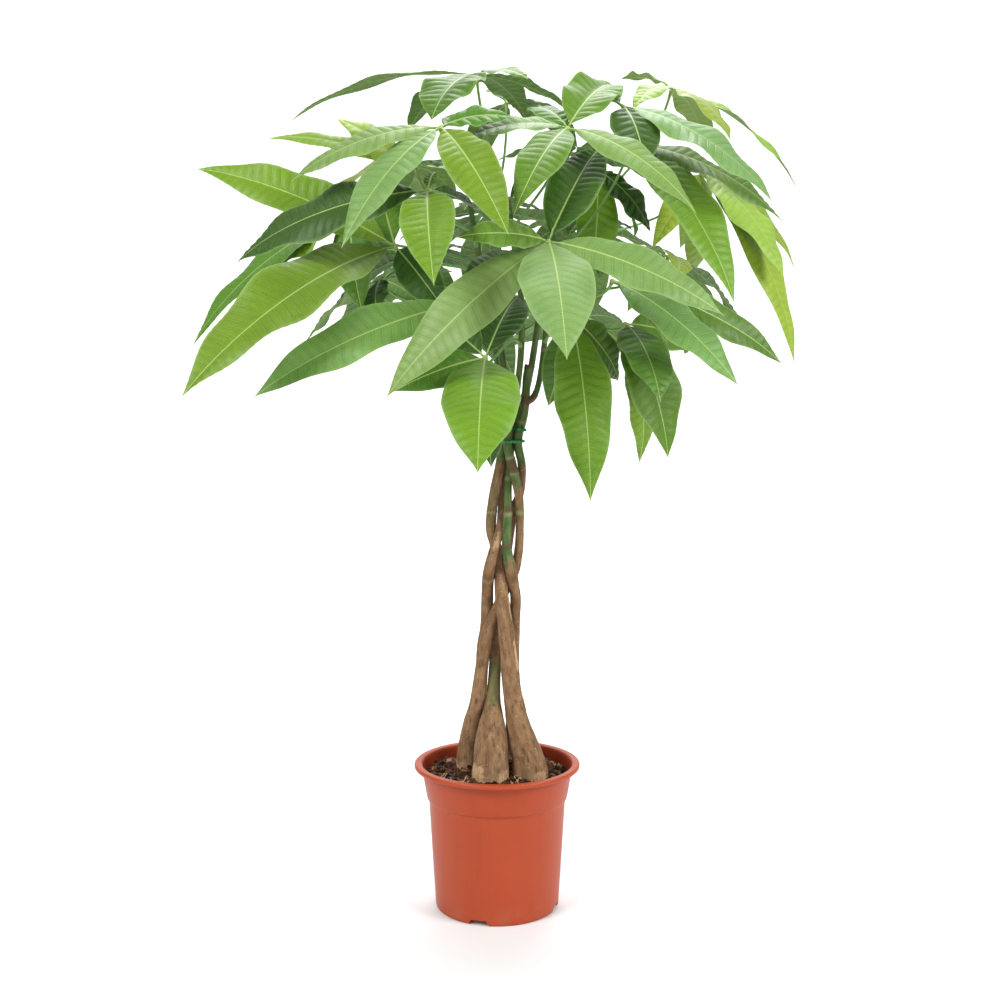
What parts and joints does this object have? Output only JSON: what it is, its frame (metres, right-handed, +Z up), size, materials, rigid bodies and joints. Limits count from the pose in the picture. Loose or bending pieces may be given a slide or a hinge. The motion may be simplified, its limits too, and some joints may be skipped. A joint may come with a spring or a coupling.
{
  "type": "potted money tree",
  "caption": "Braided-stem money tree with a spreading crown of palmate leaves, standing in a round plastic nursery pot filled with bark soil.",
  "frame": {"origin": "centre of the pot's underside, on the surface that the pot stands on", "axes": "+Z up along the pot's axis, -Y towards the front of the plant, +X to the right seen from the front"},
  "size_m": [0.6419, 0.5899, 0.8715],
  "materials": {
    "terracotta_plastic": "satin moulded plastic",
    "bark_soil": "loose damp bark and peat",
    "bark": "matt bark, green where young",
    "green_tie": "gloss plastic-coated wire",
    "leaf_green": "satin leaf",
    "leaf_deep_green": "satin leaf",
    "leaf_young_green": "satin leaf"
  },
  "bodies": {
    "root": {"leaf_01": "leaf_green", "leaf_02": "leaf_deep_green", "leaf_03": "leaf_young_green", "leaf_04": "leaf_green", "leaf_05": "leaf_deep_green", "leaf_06": "leaf_young_green", "leaf_07": "leaf_green", "leaf_08": "leaf_deep_green", "leaf_09": "leaf_young_green", "leaf_10": "leaf_green", "leaf_11": "leaf_deep_green", "leaf_12": "leaf_young_green", "leaf_13": "leaf_green", "leaf_14": "leaf_deep_green", "leaf_15": "leaf_young_green", "leaf_16": "leaf_green", "leaf_17": "leaf_deep_green", "leaf_18": "leaf_young_green", "leaf_19": "leaf_green", "leaf_20": "leaf_deep_green", "leaf_21": "leaf_young_green", "leaf_22": "leaf_green", "leaf_23": "leaf_deep_green", "leaf_24": "leaf_young_green", "leaf_25": "leaf_green", "leaf_26": "leaf_deep_green", "leaf_27": "leaf_young_green", "leaf_28": "leaf_green", "leaf_29": "leaf_deep_green", "pot": "terracotta_plastic", "soil": "bark_soil", "stem_back_left": "bark", "stem_back_right": "bark", "stem_front_centre": "bark", "stem_front_left": "bark", "stem_front_right": "bark", "tie_wire": "green_tie", "upper_tie_wire": "green_tie"}
  },
  "joints": []
}
